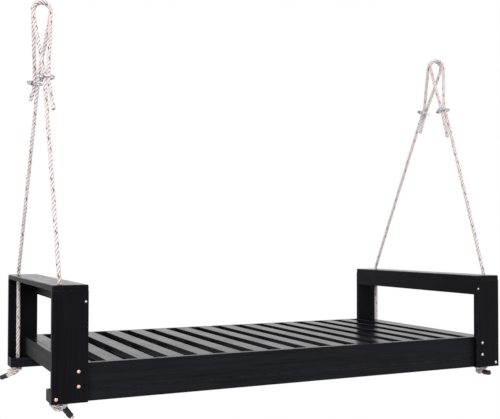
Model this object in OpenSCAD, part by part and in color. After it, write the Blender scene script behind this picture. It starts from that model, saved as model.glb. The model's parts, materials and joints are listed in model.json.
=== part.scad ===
// Hanging swing bed: a slatted bed of painted boards that hangs by four ropes from two hooks.
// The origin is on the swing axis, straight above the middle of the bed. +X runs along the bed to
// the right, the front faces -Y, and +Z is up.

/* [Bed] */
// Overall length, over the posts
bed_l = 2202; // [2150:1:2250]
// Overall depth, over the posts
bed_d = 1056; // [1000:1:1100]
// Height from the post bottoms to the armrest tops
bed_h = 450; // [430:1:480]
// Height of the swing axis above the post bottoms
hang_h = 1620; // [1600:1:1700]

/* [Boards] */
// Thickness of every board
board_t = 22; // [20:1:23]
// Width of the posts and the armrests
post_w = 140; // [136:1:145]
// Height of the deck, the tops of the rails and slats
deck_h = 148; // [144:1:155]
// Height of the end rails
end_rail_h = 84; // [70:1:90]
// Distance from the bed's end to the outer face of its end rail
rail_inset = 70; // [66:1:72]
// Height of the aprons under the armrests
apron_h = 72; // [50:1:90]
// Corner radius of the armrests, seen from above
armrest_r = 3; // [1:1:20]

/* [Slats] */
// Number of slats
slat_n = 16; // [12:1:18]
// Width of a slat
slat_w = 70; // [60:1:80]
// Height of the ledgers under the slats' ends
ledger_h = 38; // [34:1:42]
// Width of the centre support under the slats
centre_w = 70; // [40:1:90]

/* [Beams] */
// Height of the beams under the front and back rails
beam_h = 46; // [40:1:50]
// Depth of the beams, from the posts inwards
beam_d = 81; // [76:1:86]
// Distance from the bed's end to the rope's centre
rope_in = 40; // [38:1:42]
// Distance from the bed's front or back to the rope's centre
rope_deep = 62; // [58:1:66]
// Diameter of the rope holes
hole_d = 24; // [22:1:26]

/* [Rope] */
// Diameter of the rope
rope_d = 18; // [14:1:18]
// Length of the stopper knots
knot_l = 52; // [44:1:54]
// Diameter of the stopper knots
knot_d = 42; // [36:1:43]
// Length of the tape sleeve on a rope's lower end
sleeve_l = 42; // [20:1:43]
// Place of the left hook along X
left_hook_x = -1046; // [-1060:1:-1030]
// Place of the right hook along X
right_hook_x = 1144; // [1130:1:1160]
// Slope of the swing axis, in degrees down towards +X
axis_tilt = 1.05; // [0:0.01:1.5]

/* [Rope clips] */
// Diameter of the U-bolt's rod
clip_rod = 8; // [6:1:8]
// Space between the U-bolt's legs
clip_gap = 20; // [19:1:22]
// Reach of the U-bolt's bend from the middle of the two ropes
bend_reach = 35; // [34:1:46]
// Reach of the U-bolt's threaded ends from the middle of the two ropes
thread_reach = 38; // [37:1:42]
// Length of the saddle along the ropes
saddle_l = 20; // [16:1:24]

/* [Bolts and screws] */
// Diameter of the carriage bolts
bolt_d = 6; // [5:1:6]
// Diameter of their domed heads
head_d = 14; // [12:1:16]
// Height of their domed heads
head_h = 3.5; // [2.5:0.5:4.5]
// Distance from the bed's end to the rail bolts
rail_bolt_in = 103; // [100:1:104]
// Height of the upper rail bolt
rail_bolt_high = 119; // [115:1:120]
// Height of the lower rail bolt
rail_bolt_low = 62; // [57:1:70]
// Distance from the bed's end to the beam screw
beam_screw_in = 18; // [14:1:20]
// Height of the beam screw
beam_screw_z = 19; // [15:1:25]
// Length of the beam screw under its head
beam_screw_l = 80; // [60:1:90]
// Height of the apron screw
apron_screw_z = 385; // [375:1:410]

/* [Hidden] */
corner_names = ["left_front", "left_back", "right_front", "right_back"];
corner_signs = [[-1, -1], [-1, 1], [1, -1], [1, 1]];
function slat_name(i) = str("slat_", i < 10 ? "0" : "", i);
$fn = 48;

paint = "#1d1d22";
rope_colour = "#dccfb8";
tape = "#121214";
steel = "#c3c6c9";

half_l = bed_l / 2;
half_d = bed_d / 2;
post_top = bed_h - board_t;
rail_y = half_d - board_t;        // outer face of the long rails
inner_y = rail_y - board_t;       // inner face of the long rails
end_x = half_l - rail_inset;      // outer face of the end rails
inner_x = end_x - board_t;        // inner face of the end rails
slat_z = deck_h - board_t;        // underside of the slats
slat_pitch = (2 * inner_x - slat_w) / (slat_n - 1);
apron_x = half_l - post_w + board_t;
hole_x = half_l - rope_in;
hole_y = half_d - rope_deep;

fit = 0.2;                        // play of a shank in its bore, on the diameter
bore_past = 1;                    // how far a bore's cutter runs past the wood
washer_d = 12;
washer_t = 1.6;
nut_af = 10;
nut_h = 5;
thread_past = 3;                  // thread that shows past a nut
apron_screw_d = 5;
apron_screw_l = 60;
apron_head_d = 10;
slat_screw_d = 4;
slat_screw_l = 40;
slat_head_d = 8;
slat_head_h = 2.5;
clip_nut_af = 13;
clip_nut_h = 6.5;
saddle_floor = 10;
saddle_w = 43;
saddle_ear = 5.5;                 // how far the saddle's ears stand up beside the rope
tape_t = 3;

// The rope turns on its hook inside loop_r of the swing axis, and swings with the bed outside it
loop_r = 60;
loop_gap = 0.3;
rope_sides = 10;
bend_past = 12;                   // height of the rope's bend above the armrest
knot_round = 10;
short_span = 50;                  // spans of a route below this length are rounded

// Each rope's route from its hook: up through the clip, over the hook and down through the clip
loop_routes = [
    [[-13, -145, -354], [-13, -123, -298], [-39, -3, 0], [-28, -6, 26], [-3, -13, 37],
     [22, -20, 26], [33, -23, 0], [5, -127, -296], [5, -149, -352], [12, -203, -470]],
    [[7, 133, -333], [7, 111, -277], [39, 3, 0], [28, 6, 26], [3, 13, 37],
     [-22, 20, 26], [-33, 23, 0], [-7, 123, -273], [-7, 145, -329], [-19, 166, -377]],
    [[-34, -130, -290], [-32, -108, -234], [33, -23, 0], [22, -20, 26], [-3, -13, 37],
     [-28, -6, 26], [-39, -3, 0], [-50, -102, -236], [-52, -124, -292], [-50, -157, -412]],
    [[-8, 120, -271], [-2, 98, -215], [-33, 23, 0], [-22, 20, 26], [3, 13, 37],
     [28, 6, 26], [39, 3, 0], [16, 96, -217], [10, 118, -273], [1, 138, -354]]
];
// Each knot lies along knot_turns, in degrees from +X, with its middle at knot_places. The rope's
// lower end runs straight out of it, from tail_roots to tail_tips. All are measured from the middle
// of the hole in the beam's underside. The rope leans over to its knot just below the hole.
knot_places = [[-14, 0], [-11, 0], [-14, 10], [10, 3]];
knot_turns = [0, 180, -90, 157];
tail_roots = [[10, 0, -10], [-26, -12, -30], [-19, 4, -34], [-8, 8, -26]];
tail_tips = [[54, 0, -69], [-74, 46, -58], [-20, -66, -30], [-68, 30, -56]];
bare_tips = [10, 4, 4, 12];       // bare rope past each sleeve
knot_lean = [0, 0, -4];
knot_gap = 0.2;                   // between a knot and its beam

// Vectors
function unit(v) = v / norm(v);
function across(v, w) = unit(v - w * (v * w));
function square_to(d) = across(abs(d.z) < 0.9 ? [0, 0, 1] : [1, 0, 0], d);

// Places in the part's frame
function hook(c) =
    let (x = corner_signs[c].x < 0 ? left_hook_x : right_hook_x) [x, 0, -x * tan(axis_tilt)];
function hole(c) = [corner_signs[c].x * hole_x, corner_signs[c].y * hole_y, -hang_h];
function knot_mid(c) = hole(c) + [knot_places[c].x, knot_places[c].y, -knot_d / 2 - knot_gap];
function rope_route(c) = concat(
    [knot_mid(c), hole(c) + knot_lean, hole(c) + [0, 0, bed_h + bend_past]],
    [for (p = loop_routes[c]) hook(c) + p]
);

// The route with a point added in the middle of each short span, so that it bends evenly
function way(pts, i) =
    unit(unit(pts[i] - pts[i - 1]) + unit(pts[i + 1] - pts[i]));
function middle(pts, i) =
    let (span = norm(pts[i + 1] - pts[i]))
    (pts[i] + pts[i + 1]) / 2 + span / 8 * (way(pts, i) - way(pts, i + 1));
function rounded(pts) = [
    for (i = [0 : len(pts) - 1])
        each i > 0 && i < len(pts) - 2 && norm(pts[i + 1] - pts[i]) < short_span
            ? [pts[i], middle(pts, i)] : [pts[i]]
];

// A tube's ring at point i, slid along the tube from the ring before it
function next_ring(pts, ring, i) =
    let (
        d = unit(pts[i] - pts[i - 1]),
        m = i < len(pts) - 1 ? d + unit(pts[i + 1] - pts[i]) : d
    )
    [for (p = ring) p + d * (((pts[i] - p) * m) / (d * m))];
function rings(pts, ring, i = 1) =
    i == len(pts) ? [ring] : concat([ring], rings(pts, next_ring(pts, ring, i), i + 1));

module tube(pts, d) {
    n = rope_sides;
    start = unit(pts[1] - pts[0]);
    a = square_to(start);
    b = cross(start, a);
    first = [
        for (k = [0 : n - 1])
            pts[0] + d / 2 * (a * cos(360 * k / n) + b * sin(360 * k / n))
    ];
    last = n * (len(pts) - 1);
    polyhedron(
        points = [for (ring = rings(pts, first)) each ring],
        faces = concat(
            [[for (k = [0 : n - 1]) k]],
            [[for (k = [n - 1 : -1 : 0]) last + k]],
            [
                for (i = [0 : len(pts) - 2], k = [0 : n - 1])
                    [i * n + k, i * n + n + k, i * n + n + (k + 1) % n, i * n + (k + 1) % n]
            ]
        )
    );
}

// Stands children on point p with their Z along d
module along(p, d) {
    translate(p) rotate([0, acos(d.z), atan2(d.y, d.x)]) children();
}

// A box between two limits each way, with z counted from the post bottoms
module board(x, y, z) {
    translate([min(x), min(y), min(z) - hang_h])
        cube([abs(x[1] - x[0]), abs(y[1] - y[0]), abs(z[1] - z[0])]);
}

module round_rect(x, y, r) {
    translate([-x / 2 + r, -y / 2]) square([x - 2 * r, y]);
    translate([-x / 2, -y / 2 + r]) square([x, y - 2 * r]);
    for (i = [-1, 1], j = [-1, 1]) translate([i * (x / 2 - r), j * (y / 2 - r)]) circle(r);
}

// A corner's bolts and screw: distance in from the bed's end, height, and depth of wood they hold
rail_bolt_list = [
    [rail_bolt_in, rail_bolt_high, 3 * board_t],
    [rail_bolt_in, rail_bolt_low, 2 * board_t]
];
beam_screw_list = [[beam_screw_in, beam_screw_z, beam_screw_l]];
all_bolts = concat(rail_bolt_list, beam_screw_list);

// Puts children at a bolt on the post's outer face, with their Z into the bed
module at_bolts(s, bolts) {
    for (b = bolts)
        translate([s.x * (half_l - b[0]), s.y * half_d, b[1] - hang_h]) rotate([s.y * 90, 0, 0]) {
            $grip = b[2];
            children();
        }
}

module bolt_bores(s) {
    at_bolts(s, all_bolts)
        translate([0, 0, -bore_past]) cylinder(d = bolt_d + fit, h = $grip + 2 * bore_past);
}

module dome(d, h) {
    r = (h * h + d * d / 4) / (2 * h);
    intersection() {
        translate([0, 0, r - h]) sphere(r);
        translate([0, 0, -h]) cylinder(d = d, h = h);
    }
}

module carriage_bolt() {
    dome(head_d, head_h);
    cylinder(d = bolt_d, h = $grip + washer_t + nut_h + thread_past);
}

module hex(af, h) {
    cylinder(d = af / cos(30), h = h, $fn = 6);
}

module at_apron_screw(s) {
    translate([s.x * (apron_x - board_t / 2), s.y * half_d, apron_screw_z - hang_h])
        rotate([s.y * 90, 0, 0]) children();
}

module apron_screw() {
    dome(apron_head_d, head_h);
    cylinder(d = apron_screw_d, h = apron_screw_l);
}

function slat_x(i) = -inner_x + slat_w / 2 + slat_pitch * (i - 1);

module at_slat_screws(i) {
    for (y = [-1, 1])
        translate([slat_x(i), y * (inner_y - board_t / 2), deck_h - hang_h])
            rotate([180, 0, 0]) children();
}

module slat_screw(play) {
    cylinder(d1 = slat_head_d + play, d2 = slat_screw_d + play, h = slat_head_h);
    cylinder(d = slat_screw_d + play, h = slat_screw_l);
}

// Boards
module beam(y) {
    color(paint) difference() {
        board([-half_l, half_l], y * [rail_y - beam_d, rail_y], [0, beam_h]);
        rope_holes(0, beam_h);
        for (x = [-1, 1]) bolt_bores([x, y]);
    }
}

module long_rail(y) {
    color(paint) difference() {
        board([-end_x, end_x], y * [inner_y, rail_y], [beam_h, deck_h]);
        for (x = [-1, 1]) bolt_bores([x, y]);
    }
}

module end_rail(x) {
    color(paint) board(x * [inner_x, end_x], [-inner_y, inner_y], [deck_h - end_rail_h, deck_h]);
}

module slat(i) {
    color(paint) difference() {
        board([slat_x(i) - slat_w / 2, slat_x(i) + slat_w / 2], [-inner_y, inner_y], [slat_z, deck_h]);
        at_slat_screws(i) slat_screw(fit);
    }
}

module ledger(y) {
    color(paint) difference() {
        board([-inner_x, inner_x], y * [inner_y - board_t, inner_y], [slat_z - ledger_h, slat_z]);
        for (x = [-1, 1]) bolt_bores([x, y]);
        for (i = [1 : slat_n]) at_slat_screws(i) slat_screw(fit);
    }
}

module centre_support() {
    color(paint) board([-inner_x, inner_x], centre_w / 2 * [-1, 1], [slat_z - board_t, slat_z]);
}

module rope_holes(z0, z1) {
    for (c = [0 : 3])
        translate(hole(c) + [0, 0, z0 - bore_past]) cylinder(d = hole_d, h = z1 - z0 + 2 * bore_past);
}

module armrest(x) {
    color(paint) difference() {
        translate([x * (half_l - post_w / 2), 0, post_top - hang_h])
            linear_extrude(board_t) round_rect(post_w, bed_d, armrest_r);
        rope_holes(post_top, bed_h);
    }
}

module apron(x) {
    color(paint) difference() {
        board(x * [apron_x - board_t, apron_x], [-rail_y, rail_y], [post_top - apron_h, post_top]);
        for (y = [-1, 1]) at_apron_screw([x, y]) cylinder(d = apron_screw_d + fit, h = apron_screw_l + 1);
    }
}

module post(c) {
    s = corner_signs[c];
    color(paint) difference() {
        board(s.x * [half_l - post_w, half_l], s.y * [rail_y, half_d], [0, post_top]);
        bolt_bores(s);
        at_apron_screw(s) translate([0, 0, -bore_past]) cylinder(d = apron_screw_d + fit, h = 2 * board_t);
    }
}

// Ropes
module knot() {
    translate([0, 0, -knot_l / 2]) rotate_extrude() {
        square([knot_d / 2 - knot_round, knot_l]);
        translate([0, knot_round]) square([knot_d / 2, knot_l - 2 * knot_round]);
        for (z = [knot_round, knot_l - knot_round])
            translate([knot_d / 2 - knot_round, z]) circle(knot_round);
    }
}

module axis_cylinder(c, r) {
    translate(hook(c)) rotate([0, 90 + axis_tilt, 0]) cylinder(r = r, h = 6 * rope_d, center = true);
}

module rope(c) {
    color(rope_colour) {
        difference() {
            tube(rounded(rope_route(c)), rope_d);
            axis_cylinder(c, loop_r + loop_gap);
        }
        translate(knot_mid(c)) rotate([0, 90, knot_turns[c]]) knot();
        tube([hole(c) + tail_roots[c], hole(c) + tail_tips[c]], rope_d);
    }
}

module loop(c) {
    color(rope_colour) intersection() {
        tube(rounded(rope_route(c)), rope_d);
        axis_cylinder(c, loop_r);
    }
}

module rope_sleeves() {
    color(tape) for (c = [0 : 3]) {
        d = unit(tail_tips[c] - tail_roots[c]);
        along(hole(c) + tail_tips[c] - d * (bare_tips[c] + sleeve_l), d) difference() {
            cylinder(d = rope_d + 2 * tape_t, h = sleeve_l);
            translate([0, 0, -1]) cylinder(d = rope_d + fit, h = sleeve_l + 2);
        }
    }
}

// Rope clips
clip_side = clip_gap / 2 + clip_rod / 2;

// Puts children in the middle of the two ropes, with Z up the ropes and X towards the bend
module at_clips() {
    for (c = [0 : 3]) {
        r = loop_routes[c];
        up = unit(r[1] - r[0]);
        apart = (r[7] + r[8] - r[0] - r[1]) / 2;
        x = across(apart.x > 0 ? apart : -apart, up);
        y = cross(up, x);
        mid = hook(c) + (r[0] + r[1] + r[7] + r[8]) / 4;
        $rope_off = norm(apart - up * (apart * up)) / 2;
        multmatrix([for (k = [0 : 2]) [x[k], y[k], up[k], mid[k]]]) children();
    }
}

module clip_u_bolts() {
    bend_x = bend_reach - clip_rod - clip_gap / 2;
    color(steel) at_clips() {
        translate([bend_x, 0, 0]) rotate([0, 0, -90]) rotate_extrude(angle = 180)
            translate([clip_side, 0]) circle(d = clip_rod);
        for (y = [-1, 1]) translate([bend_x, y * clip_side, 0])
            rotate([0, -90, 0]) cylinder(d = clip_rod, h = bend_x + thread_reach);
    }
}

module clip_saddles() {
    color(steel) at_clips() difference() {
        base = $rope_off + rope_d / 2;
        translate([-base - saddle_floor, 0, 0]) rotate([90, 0, 90])
            linear_extrude(saddle_floor + saddle_ear) round_rect(saddle_w, saddle_l, 5);
        translate([-$rope_off, 0, -saddle_l]) cylinder(d = rope_d + fit, h = 2 * saddle_l);
        for (y = [-1, 1]) translate([0, y * clip_side, 0])
            rotate([0, -90, 0]) cylinder(d = clip_rod + fit, h = 2 * base + saddle_floor);
    }
}

module clip_nuts() {
    color(steel) at_clips() for (y = [-1, 1])
        translate([-$rope_off - rope_d / 2 - saddle_floor, y * clip_side, 0]) rotate([0, -90, 0])
            difference() {
                hex(clip_nut_af, clip_nut_h);
                translate([0, 0, -1]) cylinder(d = clip_rod + fit, h = clip_nut_h + 2);
            }
}

// Bolts and screws
module rail_bolts() {
    color(steel) for (s = corner_signs) at_bolts(s, rail_bolt_list) carriage_bolt();
}

module beam_screws() {
    color(steel) for (s = corner_signs) at_bolts(s, beam_screw_list) {
        dome(head_d, head_h);
        cylinder(d = bolt_d, h = $grip);
    }
}

module bolt_washers() {
    color(steel) for (s = corner_signs) at_bolts(s, rail_bolt_list) translate([0, 0, $grip]) difference() {
        cylinder(d = washer_d, h = washer_t);
        translate([0, 0, -1]) cylinder(d = bolt_d + 2 * fit, h = washer_t + 2);
    }
}

module bolt_nuts() {
    color(steel) for (s = corner_signs) at_bolts(s, rail_bolt_list)
        translate([0, 0, $grip + washer_t]) difference() {
            hex(nut_af, nut_h);
            translate([0, 0, -1]) cylinder(d = bolt_d + fit, h = nut_h + 2);
        }
}

module apron_screws() {
    color(steel) for (s = corner_signs) at_apron_screw(s) apron_screw();
}

module slat_screws() {
    color(steel) for (i = [1 : slat_n]) at_slat_screws(i) slat_screw(0);
}

beam(-1);  // front_beam
beam(1);  // back_beam
long_rail(-1);  // front_rail
long_rail(1);  // back_rail
end_rail(-1);  // left_end_rail
end_rail(1);  // right_end_rail
for (i = [1 : slat_n]) slat(i);
ledger(-1);  // front_ledger
ledger(1);  // back_ledger
centre_support();
armrest(-1);  // left_armrest
armrest(1);  // right_armrest
apron(-1);  // left_apron
apron(1);  // right_apron
for (c = [0 : 3]) post(c);
for (c = [0 : 3]) rope(c);
for (c = [0 : 3]) loop(c);
rope_sleeves();
clip_u_bolts();
clip_saddles();
clip_nuts();
rail_bolts();
beam_screws();
bolt_washers();
bolt_nuts();
apron_screws();
slat_screws();
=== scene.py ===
# Hanging swing bed of black painted boards on four three-strand ropes
import json
from math import cos, pi, radians, sin, tan

import bmesh
import bpy
from mathutils import Matrix, Vector


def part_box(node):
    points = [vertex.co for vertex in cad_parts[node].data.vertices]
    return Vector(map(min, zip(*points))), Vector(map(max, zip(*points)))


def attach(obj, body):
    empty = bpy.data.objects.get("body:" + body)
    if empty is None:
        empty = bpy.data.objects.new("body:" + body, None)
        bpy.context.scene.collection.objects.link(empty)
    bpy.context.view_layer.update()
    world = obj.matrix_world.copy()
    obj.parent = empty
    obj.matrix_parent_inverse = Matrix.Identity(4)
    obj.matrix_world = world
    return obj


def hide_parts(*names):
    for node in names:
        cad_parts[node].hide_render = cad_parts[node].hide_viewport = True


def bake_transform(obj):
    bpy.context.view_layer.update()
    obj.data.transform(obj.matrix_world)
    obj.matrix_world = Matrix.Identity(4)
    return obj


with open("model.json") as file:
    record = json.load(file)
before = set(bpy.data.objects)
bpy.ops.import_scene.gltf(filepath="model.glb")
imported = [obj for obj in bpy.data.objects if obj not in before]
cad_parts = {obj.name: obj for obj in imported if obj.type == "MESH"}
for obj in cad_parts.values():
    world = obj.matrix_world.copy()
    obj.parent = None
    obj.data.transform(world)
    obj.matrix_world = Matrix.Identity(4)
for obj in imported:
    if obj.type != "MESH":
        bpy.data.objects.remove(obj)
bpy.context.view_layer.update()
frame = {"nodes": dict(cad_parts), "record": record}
scene = bpy.context.scene
up = Vector((0, 0, 1))


def linear(hexColour):
    # sRGB hex to the linear colour that shaders take
    parts = [int(hexColour[i:i + 2], 16) / 255 for i in (1, 3, 5)]
    return [p / 12.92 if p <= 0.04045 else ((p + 0.055) / 1.055) ** 2.4 for p in parts] + [1]


def addNode(tree, kind, settings=None, links=None):
    # one node: a setting is a socket's value or else the node's own property
    made = tree.nodes.new(kind)
    for name, value in (settings or {}).items():
        if isinstance(name, int) or name in made.inputs:
            made.inputs[name].default_value = value
        else:
            setattr(made, name, value)
    for name, source in (links or {}).items():
        tree.links.new(source, made.inputs[name])
    return made


def newMaterial(name):
    material = bpy.data.materials.new(name)
    material.use_nodes = True
    material.node_tree.nodes.clear()
    return material, material.node_tree


def addRamp(tree, factor, stops):
    # colour ramp from a list of (place, hex colour)
    ramp = addNode(tree, "ShaderNodeValToRGB", {}, {"Fac": factor})
    elements = ramp.color_ramp.elements
    while len(elements) < len(stops):
        elements.new(0.5)
    for element, (place, colour) in zip(elements, stops):
        element.position = place
        element.color = linear(colour)
    return ramp.outputs["Color"]


def addRange(tree, value, low, high, toLow, toHigh):
    made = addNode(tree, "ShaderNodeMapRange", {"From Min": low, "From Max": high,
                                                "To Min": toLow, "To Max": toHigh}, {"Value": value})
    return made.outputs["Result"]


def addMath(tree, operation, a, b=0.0):
    settings, links = {"operation": operation}, {}
    for place, value in enumerate((a, b)):
        (settings if isinstance(value, (int, float)) else links)[place] = value
    return addNode(tree, "ShaderNodeMath", settings, links).outputs[0]


def addMix(tree, share, colour, hexColour, blend="MIX"):
    # the colour, mixed by a share with one that is the same all over
    mixed = addNode(tree, "ShaderNodeMix", {"data_type": "RGBA", "blend_type": blend}, {0: share, 6: colour})
    mixed.inputs[7].default_value = linear(hexColour)
    return mixed.outputs[2]


def finishMaterial(tree, settings, links):
    shader = addNode(tree, "ShaderNodeBsdfPrincipled", settings, links)
    addNode(tree, "ShaderNodeOutputMaterial", {}, {"Surface": shader.outputs[0]})


# camera, where the photograph was taken from
view = {
    "at": (-1.7123, -3.5011, -1.00165),
    "yaw": 25.77,        # degrees from +Y towards +X
    "pitch": 1.22,       # degrees upwards
    "roll": 0.1,
    "lens": 56.25,       # mm on a 36 mm sensor
    "shift": (0.0009, 0.0296),
}


def makeCamera():
    data = bpy.data.cameras.new("camera")
    data.lens = view["lens"]
    data.sensor_width = 36
    data.shift_x, data.shift_y = view["shift"]
    data.clip_end = 200
    camera = bpy.data.objects.new("camera", data)
    scene.collection.objects.link(camera)
    turn = Matrix.Rotation(radians(-view["yaw"]), 4, "Z")
    turn = turn @ Matrix.Rotation(radians(90 + view["pitch"]), 4, "X")
    turn = turn @ Matrix.Rotation(radians(view["roll"]), 4, "Z")
    camera.matrix_world = Matrix.Translation(view["at"]) @ turn
    scene.camera = camera


makeCamera()
print("camera made")

# places that the ropes share with the CAD part
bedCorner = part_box("right_back_post")[1]
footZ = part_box("back_beam")[0].z
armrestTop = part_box("right_armrest")[1].z
places = {
    "holeIn": 0.040,        # from the bed's end to the rope's centre
    "holeDeep": 0.062,      # from the bed's front or back to the rope's centre
    "leftHookX": -1.046,
    "rightHookX": 1.144,
    "axisTilt": 1.05,       # degrees down towards +X
    "bendPast": 0.012,      # the rope's bend above the armrest
}
corners = {
    "left_front": (-1, -1),
    "left_back": (-1, 1),
    "right_front": (1, -1),
    "right_back": (1, 1),
}
# each rope's way from its hook: up through the clip, over the hook and down through the clip
loopRoutes = {
    "left_front": [
        (-0.013, -0.145, -0.354), (-0.013, -0.123, -0.298), (-0.039, -0.003, 0), (-0.028, -0.006, 0.026),
        (-0.003, -0.013, 0.037), (0.022, -0.020, 0.026), (0.033, -0.023, 0), (0.005, -0.127, -0.296),
        (0.005, -0.149, -0.352), (0.012, -0.203, -0.470)],
    "left_back": [
        (0.007, 0.133, -0.333), (0.007, 0.111, -0.277), (0.039, 0.003, 0), (0.028, 0.006, 0.026),
        (0.003, 0.013, 0.037), (-0.022, 0.020, 0.026), (-0.033, 0.023, 0), (-0.007, 0.123, -0.273),
        (-0.007, 0.145, -0.329), (-0.019, 0.166, -0.377)],
    "right_front": [
        (-0.034, -0.130, -0.290), (-0.032, -0.108, -0.234), (0.033, -0.023, 0), (0.022, -0.020, 0.026),
        (-0.003, -0.013, 0.037), (-0.028, -0.006, 0.026), (-0.039, -0.003, 0), (-0.050, -0.102, -0.236),
        (-0.052, -0.124, -0.292), (-0.050, -0.157, -0.412)],
    "right_back": [
        (-0.008, 0.120, -0.271), (-0.002, 0.098, -0.215), (-0.033, 0.023, 0), (-0.022, 0.020, 0.026),
        (0.003, 0.013, 0.037), (0.028, 0.006, 0.026), (0.039, 0.003, 0), (0.016, 0.096, -0.217),
        (0.010, 0.118, -0.273), (0.001, 0.138, -0.354)],
}
# each rope's lower end runs straight from a root to a tip, from the hole in the beam's underside
tailRoots = {
    "left_front": (0.010, 0, -0.010),
    "left_back": (-0.026, -0.012, -0.030),
    "right_front": (-0.019, 0.004, -0.034),
    "right_back": (-0.008, 0.008, -0.026),
}
tailTips = {
    "left_front": (0.054, 0, -0.069),
    "left_back": (-0.074, 0.046, -0.058),
    "right_front": (-0.020, -0.066, -0.030),
    "right_back": (-0.068, 0.030, -0.056),
}
bareTips = {"left_front": 0.010, "left_back": 0.004, "right_front": 0.004, "right_back": 0.012}


def hookOf(corner):
    x = places["leftHookX"] if corners[corner][0] < 0 else places["rightHookX"]
    return Vector((x, 0, -x * tan(radians(places["axisTilt"]))))


def holeOf(corner):
    sx, sy = corners[corner]
    return Vector((sx * (bedCorner.x - places["holeIn"]), sy * (bedCorner.y - places["holeDeep"]), footZ))


# ropes
rope = {
    "diameter": 0.018,
    "lay": 0.060,          # one turn of the three strands
    "strands": 3,
    "strandMiddle": 0.0046,   # from the rope's axis to a strand's
    "strandHigh": 0.0044,     # half a strand's thickness outwards
    "strandWide": 0.0053,     # half its width round the rope
    "facesPerStrand": 10,
    "step": 0.0026,        # between rings
    "fineStep": 0.002,     # between the points of a curve before it is spread into rings
    "leastParts": 8,       # fewest of those points on one span
    "bend": 0.055,         # reach of a bend on a long straight run
    "joinDepth": 0.011,    # where the upper and lower rope meet, inside the armrest's hole
    "straight": (0.030, 0.002),   # points above the beam's underside that keep the rope upright in its hole
    "cutDome": 0.0012,
    "cutRim": 0.7,         # how wide the dome on a cut end still is at its shoulder, as a share
    "cutPeak": 1.4,        # its middle's height, in domes
}
sleeve = {
    "length": 0.042,
    "wall": 0.0028,
    "endWall": 0.7,        # the wall at its two ends, as a share
    "turnedIn": 0.72,      # how far in its end faces reach, as a share of its radius
    "lead": 0.008,         # straight rope before it
    "capped": "right_front",   # the rope whose sleeve closes over its end
    "cap": 0.0015,         # how long the cap's shoulder is; the rope ends two of these inside the cap
    "capRadii": (0.96, 0.78),   # the sleeve's radius at the shoulder's start and end, as shares
    "ripple": 0.00035,     # how much the strands show through
    "rings": 18,
    "sides": 36,
}
# each stopper knot winds down from a wide turn under the beam to a narrow one; angles from +X, in degrees
knots = {
    "left_front": {"top": (0.003, 0.004), "wide": (0.030, 0.017), "low": (0.001, 0.005),
                   "turns": (90, 640), "slant": (0, 0), "deep": 0.031},
    "left_back": {"top": (-0.016, 0), "wide": (0.029, 0.019), "low": (-0.024, -0.002),
                  "turns": (50, -490), "slant": (0.10, 0), "deep": 0.032},
    "right_front": {"top": (-0.011, 0.008), "wide": (0.024, 0.022), "low": (-0.017, 0.012),
                    "turns": (-60, 560), "slant": (0, 0), "deep": 0.037},
    "right_back": {"top": (0.002, 0.003), "wide": (0.025, 0.019), "low": (0.002, 0.003),
                   "turns": (-50, 500), "slant": (0, 0), "deep": 0.030},
}
knot = {
    "under": 0.0100,       # from the beam's underside to the first turn's middle
    "narrow": 0.0100,      # radius of the last turn
    "taper": 2.2,          # how late the turns shrink
    "points": 22,
}


def knotTurns(corner):
    shape = knots[corner]
    top, low = Vector(shape["top"] + (0,)), Vector(shape["low"] + (0,))
    slant = Vector(shape["slant"] + (0,))
    start, end = shape["turns"]
    points = []
    for i in range(knot["points"] + 1):
        share = i / knot["points"]
        shrunk = share ** knot["taper"]
        turn = radians(start + (end - start) * share)
        wideX, wideY = [w + (knot["narrow"] - w) * shrunk for w in shape["wide"]]
        off = Vector((wideX * cos(turn), wideY * sin(turn), 0))
        depth = knot["under"] + (shape["deep"] - knot["under"]) * shrunk
        depth += slant.length * wideX - slant.dot(off)
        points.append(top.lerp(low, shrunk) + off - up * depth)
    return points


def smoothLine(points, bend):
    # a smooth line through the points; on a long run it bends only near the run's ends
    points = [Vector(p) for p in points]
    spans = [b - a for a, b in zip(points, points[1:])]
    ways = [spans[0].normalized()]
    ways += [(a.normalized() + b.normalized()).normalized() for a, b in zip(spans, spans[1:])]
    ways.append(spans[-1].normalized())
    line = []
    for i, span in enumerate(spans):
        reach = min(span.length, bend)
        parts = max(rope["leastParts"], round(span.length / rope["fineStep"]))
        for k in range(parts):
            t = k / parts
            line.append(
                points[i] * (2 * t ** 3 - 3 * t ** 2 + 1) + points[i + 1] * (3 * t ** 2 - 2 * t ** 3)
                + ways[i] * reach * (t ** 3 - 2 * t ** 2 + t) + ways[i + 1] * reach * (t ** 3 - t ** 2))
    line.append(points[-1])
    return line


def spread(line, step):
    # the same line with its points a step apart
    lengths = [0.0]
    for a, b in zip(line, line[1:]):
        lengths.append(lengths[-1] + (b - a).length)
    count = max(2, round(lengths[-1] / step))
    even, i = [], 0
    for k in range(count + 1):
        at = lengths[-1] * k / count
        while i < len(line) - 2 and lengths[i + 1] < at:
            i += 1
        share = (at - lengths[i]) / max(lengths[i + 1] - lengths[i], 1e-9)
        even.append(line[i].lerp(line[i + 1], min(share, 1)))
    return even, lengths[-1]


def lineFrames(line, side):
    # a way and a side at each point, the side carried along without twist
    frames, old = [], None
    for i in range(len(line)):
        way = (line[min(i + 1, len(line) - 1)] - line[max(i - 1, 0)]).normalized()
        if old is not None:
            side = old.rotation_difference(way) @ side
        side = (side - way * side.dot(way)).normalized()
        frames.append((way, side, way.cross(side)))
        old = way
    return frames


def strandOutline():
    # one strand's share of the rope's outline: (angle round the strand, radius, angle round the rope)
    middle, high, wide = rope["strandMiddle"], rope["strandHigh"], rope["strandWide"]
    low, far = 0.0, pi
    for _ in range(40):
        a = (low + far) / 2
        valley = wide * sin(a) - tan(pi / rope["strands"]) * (middle + high * cos(a))
        low, far = (a, far) if valley < 0 else (low, a)
    n = rope["facesPerStrand"]
    outline = []
    for k in range(n + 1):
        a = low * (2 * k / n - 1)
        outline.append((a, Vector((middle + high * cos(a), wide * sin(a)))))
    return outline


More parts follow.
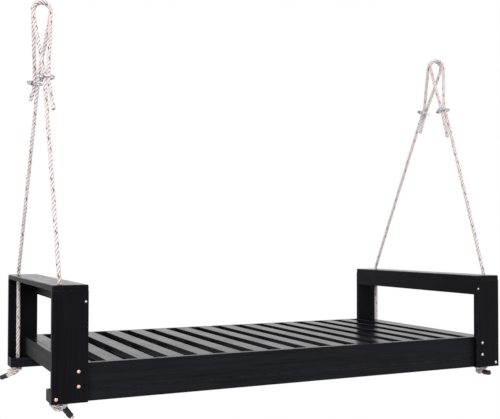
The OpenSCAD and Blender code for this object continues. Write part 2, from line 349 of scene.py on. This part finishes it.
def layRope(name, line, side, scale=1.0):
    # three strands laid right-handed along the line
    # U counts turns of the lay, V is the strand's number plus the place round it
    outline = strandOutline()
    n, strands = rope["facesPerStrand"], rope["strands"]
    frames = lineFrames(line, side)
    points, faces, uvs = [], [], []
    along = 0.0
    alongs = []
    for i, (at, (way, across, over)) in enumerate(zip(line, frames)):
        if i:
            along += (at - line[i - 1]).length
        alongs.append(along / rope["lay"])
        for s in range(strands):
            turn = 2 * pi * (along / rope["lay"] + s / strands)
            for a, p in outline[:-1]:
                x = (p.x * cos(turn) - p.y * sin(turn)) * scale
                y = (p.x * sin(turn) + p.y * cos(turn)) * scale
                points.append(at + across * x + over * y)
    ring = n * strands
    for i in range(len(line) - 1):
        for k in range(ring):
            a, b = i * ring + k, i * ring + (k + 1) % ring
            faces.append((a, b, b + ring, a + ring))
            s, q = divmod(k, n)
            v0 = s + 0.5 + outline[q][0] / (2 * pi)
            v1 = s + 0.5 + outline[q + 1][0] / (2 * pi)
            uvs += [(alongs[i], v0), (alongs[i], v1), (alongs[i + 1], v1), (alongs[i + 1], v0)]
    # both ends close over a low dome, with their own material
    sideFaces = len(faces)
    ends = ((0, line[0], -frames[0][0]), (len(points) - ring, line[-1], frames[-1][0]))
    for first, centre, outwards in ends:
        base = len(points)
        rim = points[first:first + ring]
        for p in rim:
            points.append(centre + (p - centre) * rope["cutRim"] + outwards * rope["cutDome"])
        points.append(centre + outwards * rope["cutDome"] * rope["cutPeak"])
        for k in range(ring):
            a, b = first + k, first + (k + 1) % ring
            c, d = base + k, base + (k + 1) % ring
            quad, tri = [a, c, d, b], [c, base + ring, d]
            if first:
                quad.reverse()
                tri.reverse()
            faces += [tuple(quad), tuple(tri)]
            uvs += [(0.1, 0.5)] * (len(quad) + len(tri))
    mesh = bpy.data.meshes.new(name)
    mesh.from_pydata(points, [], faces)
    layer = mesh.uv_layers.new(name="lay")
    layer.data.foreach_set("uv", [c for uv in uvs for c in uv])
    mesh.polygons.foreach_set("use_smooth", [True] * len(faces))
    mesh.polygons.foreach_set("material_index", [0 if i < sideFaces else 1 for i in range(len(faces))])
    piece = bpy.data.objects.new(name, mesh)
    scene.collection.objects.link(piece)
    return piece


def upperLine(corner):
    hole, hook = holeOf(corner), hookOf(corner)
    joint = Vector((hole.x, hole.y, armrestTop - rope["joinDepth"]))
    bend = Vector((hole.x, hole.y, armrestTop + places["bendPast"]))
    return [joint, bend] + [hook + Vector(p) for p in loopRoutes[corner]]


def tailWay(corner):
    # where a rope's sleeve starts, and the way it points
    root, tip = Vector(tailRoots[corner]), Vector(tailTips[corner])
    way = (tip - root).normalized()
    return holeOf(corner) + tip - way * (sleeve["length"] + bareTips[corner]), way


def lowerLine(corner):
    hole = holeOf(corner)
    start, way = tailWay(corner)
    points = [Vector((hole.x, hole.y, armrestTop - rope["joinDepth"]))]
    points += [hole + up * height for height in rope["straight"]]
    points += [hole + p for p in knotTurns(corner)]
    tip = hole + Vector(tailTips[corner])
    if corner == sleeve["capped"]:
        tip -= way * (bareTips[corner] + sleeve["cap"] * 2)
    return points + [start - way * sleeve["lead"], start, (start + tip) / 2, tip]


def makeRopes():
    for corner in corners:
        line, length = spread(smoothLine(upperLine(corner), rope["bend"]), rope["step"])
        upper = layRope(corner + "_rope_upper", line, Vector((1, 0, 0)))
        dressRope(upper)
        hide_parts(corner + "_rope", corner + "_loop")
        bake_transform(upper)
        lowLine, lowLength = spread(smoothLine(lowerLine(corner), rope["bend"]), rope["step"])
        lower = layRope(corner + "_rope_lower", lowLine, Vector((1, 0, 0)))
        dressRope(lower)
        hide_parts(corner + "_rope")
        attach(lower, "swing_bed")
        print(corner, "rope:", round(length, 3), "m above the armrest,", round(lowLength, 3), "m below it")


yarns = {
    "perStrand": 9,
    "turnsPerLay": 2.3,     # yarns twist the other way, so they run nearly along the rope
    "relief": 0.0005,
    "fuzz": 0.5,            # height of the loose fibres, in yarns
    "cream": ("#ebdecd", "#f6eee2"),
    # the colour of the painted shade between the strands and between the yarns
    "valley": "#a08c74",
    "valleyShadePlace": (0.17, 0.33),   # where painted shade darkens a strand's side, from its ridge towards its neighbour
    "yarnSeamShade": 0.22,       # how dark the painted shade on the line between two yarns is
    "tracer": "#4a3630",
    "tracerWide": 1.25,     # in yarns
}


def ropeFibre():
    # cream three-strand rope: soft matt yarns with one brown tracer, and painted shade deep between the
    # strands and on the lines between yarns
    material, tree = newMaterial("three-strand cream rope")
    place = addNode(tree, "ShaderNodeUVMap", {"uv_map": "lay"})
    parts = addNode(tree, "ShaderNodeSeparateXYZ", {}, {0: place.outputs[0]})
    turns = addMath(tree, "MULTIPLY", parts.outputs[0], yarns["turnsPerLay"])
    strandRound = addMath(tree, "FRACT", addMath(tree, "ADD", parts.outputs[1], turns))
    yarn = addMath(tree, "FRACT", addMath(tree, "MULTIPLY", strandRound, yarns["perStrand"]))
    ridge = addMath(tree, "SINE", addMath(tree, "MULTIPLY", yarn, pi))
    # painted shade: the rope is deep between two strands, where the place round a strand is near 0 or 1, and
    # it is drawn darker there
    strandPlace = addMath(tree, "FRACT", parts.outputs[1])
    depth = addMath(tree, "ABSOLUTE", addMath(tree, "SUBTRACT", strandPlace, 0.5))
    depth = addRange(tree, depth, *yarns["valleyShadePlace"], 0, 1)
    where = addNode(tree, "ShaderNodeTexCoord").outputs["Object"]
    fibres = addNode(tree, "ShaderNodeTexNoise", {"Scale": 900, "Detail": 3}, {"Vector": where})
    tone = addNode(tree, "ShaderNodeTexNoise", {"Scale": 14, "Detail": 2}, {"Vector": where})
    cream = addRamp(tree, tone.outputs[0], list(zip((0.3, 0.7), yarns["cream"])))
    # painted shade: the cream is multiplied darker deep between the strands, then along the lines between
    # yarns
    shaded = addMix(tree, depth, cream, yarns["valley"], "MULTIPLY")
    seamShadeShare = addRange(tree, ridge, 0, 0.5, yarns["yarnSeamShade"], 0)
    seamShaded = addMix(tree, seamShadeShare, shaded, yarns["valley"], "MULTIPLY")
    # the tracer: one yarn of the first strand
    inFirst = addMath(tree, "LESS_THAN", parts.outputs[1], 1.0)
    inYarn = addMath(tree, "LESS_THAN", strandRound, yarns["tracerWide"] / yarns["perStrand"])
    tracer = addMath(tree, "MULTIPLY", inFirst, inYarn)
    marked = addMix(tree, tracer, seamShaded, yarns["tracer"])
    height = addMath(tree, "ADD", ridge, addMath(tree, "MULTIPLY", fibres.outputs[0], yarns["fuzz"]))
    bump = addNode(tree, "ShaderNodeBump", {"Strength": 0.8, "Distance": yarns["relief"]},
                   {"Height": height})
    finishMaterial(tree, {"Roughness": 0.85, "Specular IOR Level": 0.2, "Sheen Weight": 0.25,
                          "Sheen Roughness": 0.5},
                   {"Base Color": marked, "Normal": bump.outputs[0]})
    return material


def ropeCutEnd():
    # heat-sealed rope end: the yarns melted to a tan, slightly glossy face
    material, tree = newMaterial("melted rope end")
    place = addNode(tree, "ShaderNodeTexCoord")
    noise = addNode(tree, "ShaderNodeTexVoronoi", {"Scale": 700}, {"Vector": place.outputs["Object"]})
    tanned = addRamp(tree, noise.outputs["Distance"], [(0.1, "#d9c3a0"), (0.8, "#b69670")])
    bump = addNode(tree, "ShaderNodeBump", {"Strength": 0.6, "Distance": 0.0006},
                   {"Height": noise.outputs["Distance"]})
    finishMaterial(tree, {"Roughness": 0.5}, {"Base Color": tanned, "Normal": bump.outputs[0]})
    return material


ropeMaterials = [ropeFibre(), ropeCutEnd()]


def dressRope(piece):
    for material in ropeMaterials:
        piece.data.materials.append(material)


makeRopes()
print("ropes made")


# sleeves on the ropes' lower ends
def sleeveTape():
    # matt black heat-shrink tape, with fine wrinkles across the rope
    material, tree = newMaterial("black heat-shrink tape")
    place = addNode(tree, "ShaderNodeTexCoord")
    noise = addNode(tree, "ShaderNodeTexNoise", {"Scale": 260, "Detail": 4, "Distortion": 0.6},
                    {"Vector": place.outputs["Object"]})
    colour = addRamp(tree, noise.outputs[0], [(0.3, "#0b0b0d"), (0.75, "#1c1c1f")])
    rough = addRange(tree, noise.outputs[0], 0.3, 0.7, 0.38, 0.6)
    bump = addNode(tree, "ShaderNodeBump", {"Strength": 0.5, "Distance": 0.0004},
                   {"Height": noise.outputs[0]})
    finishMaterial(tree, {"IOR": 1.46},
                   {"Base Color": colour, "Roughness": rough, "Normal": bump.outputs[0]})
    return material


def loft(bm, stations, sides, shape=None):
    # circles joined in a row; a station is its centre, two ways across and a radius, and shape adds to it
    rings = []
    for i, (centre, side, over, radius) in enumerate(stations):
        ring = bmesh.ops.create_circle(bm, segments=sides, radius=radius)["verts"]
        for k, v in enumerate(ring):
            turn = 2 * pi * k / sides
            r = radius + (shape(i, turn) if shape else 0)
            v.co = centre + (side * cos(turn) + over * sin(turn)) * r
        rings.append([bm.edges.get((ring[k], ring[(k + 1) % sides])) for k in range(sides)])
    for a, b in zip(rings, rings[1:]):
        bmesh.ops.bridge_loops(bm, edges=a + b)
    return rings


def makeSleeves():
    bm = bmesh.new()
    rings = sleeve["rings"]

    def ripple(i, turn):
        lay = 2 * pi * i / rings * sleeve["length"] / rope["lay"]
        return sleeve["ripple"] * cos(rope["strands"] * (turn - lay))

    for corner in corners:
        start, way = tailWay(corner)
        side = (up - way * up.dot(way)).normalized()
        over = way.cross(side)
        capped = corner == sleeve["capped"]
        stations = []
        for i in range(rings + 1):
            wall = sleeve["wall"] * (sleeve["endWall"] if i in (0, rings) else 1)
            at = start + way * sleeve["length"] * i / rings
            stations.append((at, side, over, rope["diameter"] / 2 + wall))
        if capped:
            wide = rope["diameter"] / 2 + sleeve["wall"]
            shoulder, face = sleeve["capRadii"]
            stations[-1] = (start + way * (sleeve["length"] - sleeve["cap"]), side, over, wide * shoulder)
            stations.append((start + way * sleeve["length"], side, over, wide * face))
        loops = loft(bm, stations, sleeve["sides"], ripple)
        if capped:
            bmesh.ops.edgeloop_fill(bm, edges=loops[-1])
        for rim in loops[:1] if capped else (loops[0], loops[-1]):
            turnedIn = bmesh.ops.extrude_edge_only(bm, edges=rim)["geom"]
            verts = [g for g in turnedIn if isinstance(g, bmesh.types.BMVert)]
            centre = sum((v.co for v in verts), Vector()) / len(verts)
            for v in verts:
                v.co = centre + (v.co - centre) * sleeve["turnedIn"]
    bmesh.ops.recalc_face_normals(bm, faces=bm.faces)
    piece = finishMesh("rope_end_sleeves", bm)
    piece.data.materials.append(sleeveTape())
    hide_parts("rope_sleeves")
    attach(piece, "swing_bed")


def finishMesh(name, bm, smooth=True):
    mesh = bpy.data.meshes.new(name)
    for face in bm.faces:
        face.smooth = smooth
    bm.to_mesh(mesh)
    bm.free()
    piece = bpy.data.objects.new(name, mesh)
    scene.collection.objects.link(piece)
    return piece


makeSleeves()
print("sleeves made")

# painted boards
paint = {
    # tones by the grain's direction are painted light and shade on one paint: boards along x, the rails and
    # beams, are drawn lighter than the posts and the boards that run front to back
    "deep": {"x": "#0e0f11", "y": "#070709", "z": "#040405"},     # in the grain's hollows
    "black": {"x": "#1b1c1f", "y": "#0d0d10", "z": "#0f0f12"},
    "thin": "#26262c",       # where the paint is thin on a worn arris
    "grainAcross": 0.0045,   # width of a grain line, drawn coarser than the real 1 to 2 mm so that it shows
    "grainAlong": 0.16,
    "grainShare": 0.55,      # the rest of the pattern is the figure's
    "figureAcross": 0.022,   # broad figure of the wood under the paint
    "figureAlong": 0.6,
    "figureShare": 0.45,
    "hollows": (0.34, 0.62),   # where the pattern passes from the hollows' colour to the ridges'
    "worn": (0.45, 0.62),    # where a worn arris passes from full paint to thin paint
    "edge": 0.0014,          # rounding of a board's arrises
    "segments": 2,
    "shortest": 0.0009,      # edges round a bore are shorter, and stay sharp
    "beamEdge": 0.003,       # a beam's arrises are rounder, and show as a pale line under the rail
    "armrestEdge": 0.0055,   # an armrest's rounded top and corners
    "armrestSegments": 4,
    "beamShortest": 0.03,    # only a beam's long edges are eased, not the rims of its bores
    "bore": 0.024,           # diameter of an armrest's rope holes
    "boreSides": 40,
    "ior": 1.17,             # low, so that faces met squarely stay dark and only low angles turn pale
    "gloss": (0.14, 0.23),   # roughness on the ridges and in the hollows
    "underGloss": (0.55, 0.7),   # the same on the rough-sawn boards under the slats
    "uprightRough": 0.3,     # added on upright faces
    "dustRough": 0.06,       # added where dust lies
    "relief": 0.0004,        # the grain's height through the paint
    "sharp": 40,             # an edge turning more than this is an arris, degrees
    "flat": 1,               # and one turning less than this joins one flat face
    "weld": 0.00002,         # points nearer than this are one
}
grainTurns = {"x": (0, 1, 1), "y": (1, 0, 1), "z": (1, 1, 0)}


def paintedBoard(grain, worn, gloss="gloss"):
    # planed softwood under black satin paint, with the grain showing through; its tones, set by the grain's
    # direction, are painted light and shade
    # dark where it is faced, and pale with the backdrop's reflection at low angles
    kind = "black satin paint" if gloss == "gloss" else "black paint on rough-sawn board"
    material, tree = newMaterial(f"{kind}, grain along {grain}" + (", worn arris" if worn else ""))
    source = addNode(tree, "ShaderNodeTexCoord")
    place = source.outputs["Object"]
    rise = addNode(tree, "ShaderNodeSeparateXYZ", {}, {0: source.outputs["Normal"]}).outputs[2]
    upright = addRange(tree, addMath(tree, "ABSOLUTE", rise, 0), 0.3, 0.7, paint["uprightRough"], 0)
    streaks = []
    for across, along, detail in ((paint["grainAcross"], paint["grainAlong"], 3),
                                  (paint["figureAcross"], paint["figureAlong"], 2)):
        scale = [1 / across if f else 1 / along for f in grainTurns[grain]]
        drawn = addNode(tree, "ShaderNodeMapping", {"Scale": scale}, {"Vector": place})
        noise = addNode(tree, "ShaderNodeTexNoise", {"Scale": 1, "Detail": detail, "Roughness": 0.6},
                        {"Vector": drawn.outputs[0]})
        streaks.append(noise.outputs[0])
    streaks = addMath(tree, "ADD", addMath(tree, "MULTIPLY", streaks[0], paint["grainShare"]),
                      addMath(tree, "MULTIPLY", streaks[1], paint["figureShare"]))
    dust = addNode(tree, "ShaderNodeTexNoise", {"Scale": 5, "Detail": 5}, {"Vector": place}).outputs[0]
    # painted light and shade: the grain's direction picks a lighter or a darker pair of tones
    tones = (paint["deep"][grain], paint["black"][grain])
    colour = addRamp(tree, streaks, list(zip(paint["hollows"], tones)))
    if worn:
        rubbed = addNode(tree, "ShaderNodeTexNoise", {"Scale": 38, "Detail": 4}, {"Vector": place})
        wear = addRange(tree, rubbed.outputs[0], *paint["worn"], 0, 1)
        colour = addMix(tree, wear, colour, paint["thin"])
    smooth, rough = paint[gloss]
    sheen = addMath(tree, "ADD", addRange(tree, streaks, 0.35, 0.65, smooth, rough),
                    addRange(tree, dust, 0.35, 0.7, 0, paint["dustRough"]))
    sheen = addMath(tree, "ADD", sheen, upright)
    bump = addNode(tree, "ShaderNodeBump", {"Strength": 0.25, "Distance": paint["relief"]},
                   {"Height": streaks})
    finishMaterial(tree, {"IOR": paint["ior"]},
                   {"Base Color": colour, "Roughness": sheen, "Normal": bump.outputs[0]})
    return material


boardPaint = {grain: [paintedBoard(grain, False), paintedBoard(grain, True)] for grain in "xyz"}
underPaint = [paintedBoard("x", False, "underGloss"), paintedBoard("x", True, "underGloss")]
underBoards = ("front_ledger", "back_ledger", "centre_support")


def boardGrain(name):
    low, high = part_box(name)
    size = high - low
    return "xyz"[max(range(3), key=lambda i: size[i])]


def isSlanted(face):
    # flat sides square to an axis stay flat, and eased edges are shaded round
    return max(abs(c) for c in face.normal) < 0.9999


def ease(bm, edges, radius, segments):
    made = bmesh.ops.bevel(bm, geom=edges, offset=radius, offset_type="OFFSET", segments=segments,
                           affect="EDGES", profile=0.5, material=-1, clamp_overlap=True)
    for face in made["faces"]:
        face.material_index = 1


def sharpEdges(bm, shortest):
    return [e for e in bm.edges if len(e.link_faces) == 2 and e.calc_length() > shortest
            and e.calc_face_angle() > radians(paint["sharp"])]


def easedCopy(name, edge, shortest):
    # the sawn and drilled solid with its arrises eased; the eased faces carry the second material
    bm = bmesh.new()
    bm.from_mesh(frame["nodes"][name].data)
    bmesh.ops.remove_doubles(bm, verts=bm.verts, dist=paint["weld"])
    bmesh.ops.dissolve_limit(bm, angle_limit=radians(paint["flat"]), verts=bm.verts, edges=bm.edges)
    ease(bm, sharpEdges(bm, shortest), edge, paint["segments"])
    return finishMesh(name + "_eased", bm)


def roundedArmrest(name):
    # a board with its top and corners well rounded, bored for the ropes
    low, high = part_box(name)
    bm = bmesh.new()
    bmesh.ops.create_cube(bm, size=1)
    bmesh.ops.scale(bm, verts=bm.verts, vec=high - low)
    bmesh.ops.translate(bm, verts=bm.verts, vec=(low + high) / 2)
    under = [e for e in bm.edges if all(v.co.z < high.z - 0.001 for v in e.verts)]
    above = [e for e in bm.edges if e not in under]
    ease(bm, above, paint["armrestEdge"], paint["armrestSegments"])
    under = [e for e in sharpEdges(bm, 0) if all(v.co.z < low.z + 0.001 for v in e.verts)]
    ease(bm, under, paint["edge"], paint["segments"])
    rims = {}
    for z in (low.z, high.z):
        level = [f for f in bm.faces if abs(f.calc_center_median().z - z) < 0.0001]
        flat = max(level, key=lambda f: f.calc_area())
        outline = list(flat.edges)
        bmesh.ops.delete(bm, geom=[flat], context="FACES_ONLY")
        rims[z] = []
        for corner in corners:
            at = holeOf(corner)
            if low.x < at.x < high.x:
                rim = bmesh.ops.create_circle(bm, segments=paint["boreSides"], radius=paint["bore"] / 2,
                                              matrix=Matrix.Translation((at.x, at.y, z)))["verts"]
                rims[z].append(list({e for v in rim for e in v.link_edges}))
                outline = outline + rims[z][-1]
        bmesh.ops.triangle_fill(bm, edges=outline, use_beauty=True)
    for a, b in zip(*rims.values()):
        bmesh.ops.bridge_loops(bm, edges=a + b)
    bmesh.ops.recalc_face_normals(bm, faces=bm.faces)
    return finishMesh(name + "_eased", bm)


def makeBoard(name):
    if "armrest" in name:
        piece = roundedArmrest(name)
    elif "beam" in name:
        piece = easedCopy(name, paint["beamEdge"], paint["beamShortest"])
    else:
        piece = easedCopy(name, paint["edge"], paint["shortest"])
    piece.name = name + "_board"
    for face in piece.data.polygons:
        face.use_smooth = isSlanted(face)
    for material in underPaint if name in underBoards else boardPaint[boardGrain(name)]:
        piece.data.materials.append(material)
    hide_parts(name)
    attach(piece, "swing_bed")


boardNames = [s["node"] for s in frame["record"]["subparts"] if s["material_slot"] == "painted_wood"]
for boardName in boardNames:
    makeBoard(boardName)
print(len(boardNames), "boards made")


# fittings
plating = {
    "clip": ("#8e9299", "#dfe2e6"),
    "clipGloss": (0.1, 0.24),
    "bolt": ("#a6a9ad", "#d9dbde"),
    "boltGloss": (0.2, 0.36),
    "copper": "#d9b8a6",
    "copperBelow": footZ + 0.3,   # the coppery fasteners are the left front ones near the foot
}


def platedSteel(name, tones, gloss, copperCorner=False):
    # zinc plate over steel: bright and slightly cloudy; the left front corner's fasteners look coppery
    material, tree = newMaterial(name)
    place = addNode(tree, "ShaderNodeTexCoord").outputs["Object"]
    noise = addNode(tree, "ShaderNodeTexNoise", {"Scale": 120, "Detail": 3}, {"Vector": place}).outputs[0]
    colour = addRamp(tree, noise, [(0.3, tones[0]), (0.7, tones[1])])
    if copperCorner:
        parts = addNode(tree, "ShaderNodeSeparateXYZ", {}, {0: place})
        here = addMath(tree, "MULTIPLY", addMath(tree, "LESS_THAN", parts.outputs[0], 0.0),
                       addMath(tree, "LESS_THAN", parts.outputs[1], 0.0))
        low = addMath(tree, "LESS_THAN", parts.outputs[2], plating["copperBelow"])
        here = addMath(tree, "MULTIPLY", here, low)
        colour = addMix(tree, here, colour, plating["copper"])
    rough = addRange(tree, noise, 0.3, 0.7, *gloss)
    finishMaterial(tree, {"Metallic": 1}, {"Base Color": colour, "Roughness": rough})
    return material


clipZinc = platedSteel("bright zinc plate", plating["clip"], plating["clipGloss"])
boltZinc = platedSteel("zinc plate, coppery at one corner", plating["bolt"], plating["boltGloss"], True)

clip = {
    "rod": 0.008,
    "side": 0.014,         # from the clip's middle to a leg of the U-bolt
    "bendReach": 0.035,    # from the middle of the two ropes to the outside of the bend
    "threadReach": 0.038,  # and to the threaded ends
    "threadLong": 0.024,
    "pitch": 0.00125,
    "threadDeep": 0.00065,
    "chamfer": 0.001,
    "sides": 20,
    "bendSteps": 18,
}
# rounding of the forged pieces' edges, and the shortest edge that is rounded
forgings = {
    "clip_saddles": (0.0009, 0.0004),
    "clip_nuts": (0.0008, 0.0009),
}


def clipPlace(corner):
    # the middle of the two ropes, the ropes' way up and the way to the U-bolt's bend
    r = [Vector(p) for p in loopRoutes[corner]]
    along = (r[1] - r[0]).normalized()
    apart = (r[7] + r[8] - r[0] - r[1]) / 2
    apart = apart if apart.x > 0 else -apart
    out = (apart - along * apart.dot(along)).normalized()
    return hookOf(corner) + (r[0] + r[1] + r[7] + r[8]) / 4, along, out


def makeUBolts():
    bm = bmesh.new()
    radius, side = clip["rod"] / 2, clip["side"]
    bendX = clip["bendReach"] - clip["rod"] / 2 - side
    for corner in corners:
        middle, along, out = clipPlace(corner)
        across = along.cross(out)
        # one leg from its end to the bend: distance along it and the rod's radius there
        leg = [(0, radius - clip["chamfer"]), (clip["chamfer"], radius)]
        steps = round(clip["threadLong"] / clip["pitch"])
        for i in range(steps):
            at = clip["chamfer"] + i * clip["pitch"]
            leg += [(at + clip["pitch"] * 0.5, radius - clip["threadDeep"]), (at + clip["pitch"], radius)]
        leg.append((clip["threadReach"] + bendX, radius))
        stations = [(middle + out * (x - clip["threadReach"]) - across * side, along, across, r)
                    for x, r in leg]
        for i in range(1, clip["bendSteps"]):
            turn = pi * i / clip["bendSteps"]
            swung = out * sin(turn) - across * cos(turn)
            stations.append((middle + out * bendX + swung * side, along, -swung, radius))
        stations += [(middle + out * (x - clip["threadReach"]) + across * side, along, -across, r)
                     for x, r in reversed(leg)]
        for rim in loft(bm, stations, clip["sides"])[::len(stations) - 1]:
            bmesh.ops.edgeloop_fill(bm, edges=rim)
    bmesh.ops.recalc_face_normals(bm, faces=bm.faces)
    finishClips(finishMesh("threaded_u_bolts", bm), "clip_u_bolts")


def finishClips(piece, node):
    piece.data.materials.append(clipZinc)
    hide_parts(node)
    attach(piece, "swing_bed")


def makeForgings():
    # the clips' saddles and nuts with their edges eased
    for node, (edge, shortest) in forgings.items():
        piece = easedCopy(node, edge, shortest)
        faces = piece.data.polygons
        faces.foreach_set("material_index", [0] * len(faces))
        faces.foreach_set("use_smooth", [isSlanted(f) for f in faces])
        finishClips(piece, node)


makeUBolts()
makeForgings()

for nodeName in ("rail_bolts", "beam_screws", "bolt_washers", "bolt_nuts", "apron_screws", "slat_screws"):
    mesh = frame["nodes"][nodeName].data
    mesh.materials.clear()
    mesh.materials.append(boardPaint["y"][0] if nodeName == "slat_screws" else boltZinc)
print("fittings finished")

# floor, backdrop and lamps
studio = {
    "floorZ": -2.62,
    "floorSize": 60,
    "clear": (2.6, 4.2),      # how far out the floor's shadow fades into the white backdrop, metres
    "floor": "#f2f2f2",
    "bounce": "#dedee2",      # the floor as soft light meets it
    "world": "#ebe8ff",
    "lowLight": (0.12, 0.95),  # light near the horizon, at the camera's side and at the far side
    "farSide": (0.45, 0.89, 0),
    "farWays": (0.1, 0.95),    # share of the way to the far side where its light starts to rise, and is full
    "highLight": 1.05,
    "lightHeight": 0.14,      # sine of the angle at which the light is full
    "lamps": {"key": ((-3.5, -4.0, 2.0), (-0.6, 0, -1.2), 3.0, 150),   # place, aim, width, watts
              "fill": ((4.5, -2.5, 2.5), (0, 0, -0.6), 3.0, 50)},
}


def seenShare(tree):
    # 1 for the rays that see the background: the camera's, reflections' and those through glass
    path = addNode(tree, "ShaderNodeLightPath")
    share = addMath(tree, "MAXIMUM", path.outputs["Is Camera Ray"], path.outputs["Is Glossy Ray"])
    return addMath(tree, "MAXIMUM", share, path.outputs["Is Transmission Ray"])


def whiteBackdrop():
    # white where it is seen; its soft light is dimmer near the horizon, as between the lamps of a studio
    world = bpy.data.worlds.new("white studio")
    scene.world = world
    world.use_nodes = True
    tree = world.node_tree
    tree.nodes.clear()
    way = addNode(tree, "ShaderNodeTexCoord").outputs["Generated"]
    height = addNode(tree, "ShaderNodeSeparateXYZ", {}, {0: way}).outputs[2]
    farWay = addNode(tree, "ShaderNodeVectorMath", {"operation": "DOT_PRODUCT", 1: studio["farSide"]},
                     {0: way})
    low = addRange(tree, farWay.outputs["Value"], *studio["farWays"], *studio["lowLight"])
    highShare = addRange(tree, height, 0, studio["lightHeight"], 0, 1)
    more = addMath(tree, "MULTIPLY", highShare, addMath(tree, "SUBTRACT", studio["highLight"], low))
    strength = addMath(tree, "ADD", low, more)
    light = addNode(tree, "ShaderNodeBackground", {"Color": linear(studio["world"])}, {"Strength": strength})
    white = addNode(tree, "ShaderNodeBackground", {"Color": (1, 1, 1, 1), "Strength": 1})
    mixed = addNode(tree, "ShaderNodeMixShader", {},
                    {0: seenShare(tree), 1: light.outputs[0], 2: white.outputs[0]})
    addNode(tree, "ShaderNodeOutputWorld", {}, {"Surface": mixed.outputs[0]})


def studioFloor():
    # matt white floor that takes the bed's shadow; its far part is as white as the backdrop
    material, tree = newMaterial("matt white studio floor")
    place = addNode(tree, "ShaderNodeTexCoord")
    middle = addNode(tree, "ShaderNodeVectorMath", {"operation": "LENGTH"}, {0: place.outputs["Object"]})
    near, far = studio["clear"]
    out = addRange(tree, middle.outputs["Value"], near, far, 0, 1)
    seen = seenShare(tree)
    tone = addNode(tree, "ShaderNodeMix", {"data_type": "RGBA"}, {0: seen})
    tone.inputs[6].default_value = linear(studio["bounce"])
    tone.inputs[7].default_value = linear(studio["floor"])
    matt = addNode(tree, "ShaderNodeBsdfDiffuse", {}, {"Color": tone.outputs[2]})
    white = addNode(tree, "ShaderNodeEmission", {"Color": (1, 1, 1, 1), "Strength": 1})
    whiteShare = addMath(tree, "MULTIPLY", seen, out)
    mixed = addNode(tree, "ShaderNodeMixShader", {}, {0: whiteShare, 1: matt.outputs[0], 2: white.outputs[0]})
    addNode(tree, "ShaderNodeOutputMaterial", {}, {"Surface": mixed.outputs[0]})
    return material


def makeFloor():
    bm = bmesh.new()
    bmesh.ops.create_grid(bm, x_segments=1, y_segments=1, size=studio["floorSize"] / 2)
    bmesh.ops.translate(bm, verts=bm.verts, vec=(0, 0, studio["floorZ"]))
    floor = finishMesh("studio_floor", bm, smooth=False)
    floor.data.materials.append(studioFloor())


def addLamp(name, at, aim, size, power):
    data = bpy.data.lights.new(name, "AREA")
    data.shape = "DISK"
    data.size = size
    data.energy = power
    lamp = bpy.data.objects.new(name, data)
    scene.collection.objects.link(lamp)
    lamp.location = at
    lamp.rotation_euler = (Vector(aim) - Vector(at)).to_track_quat("-Z", "Y").to_euler()


whiteBackdrop()
makeFloor()
for lampName, lamp in studio["lamps"].items():
    addLamp(lampName, *lamp)
print("studio made")

scene.view_settings.view_transform = "Standard"
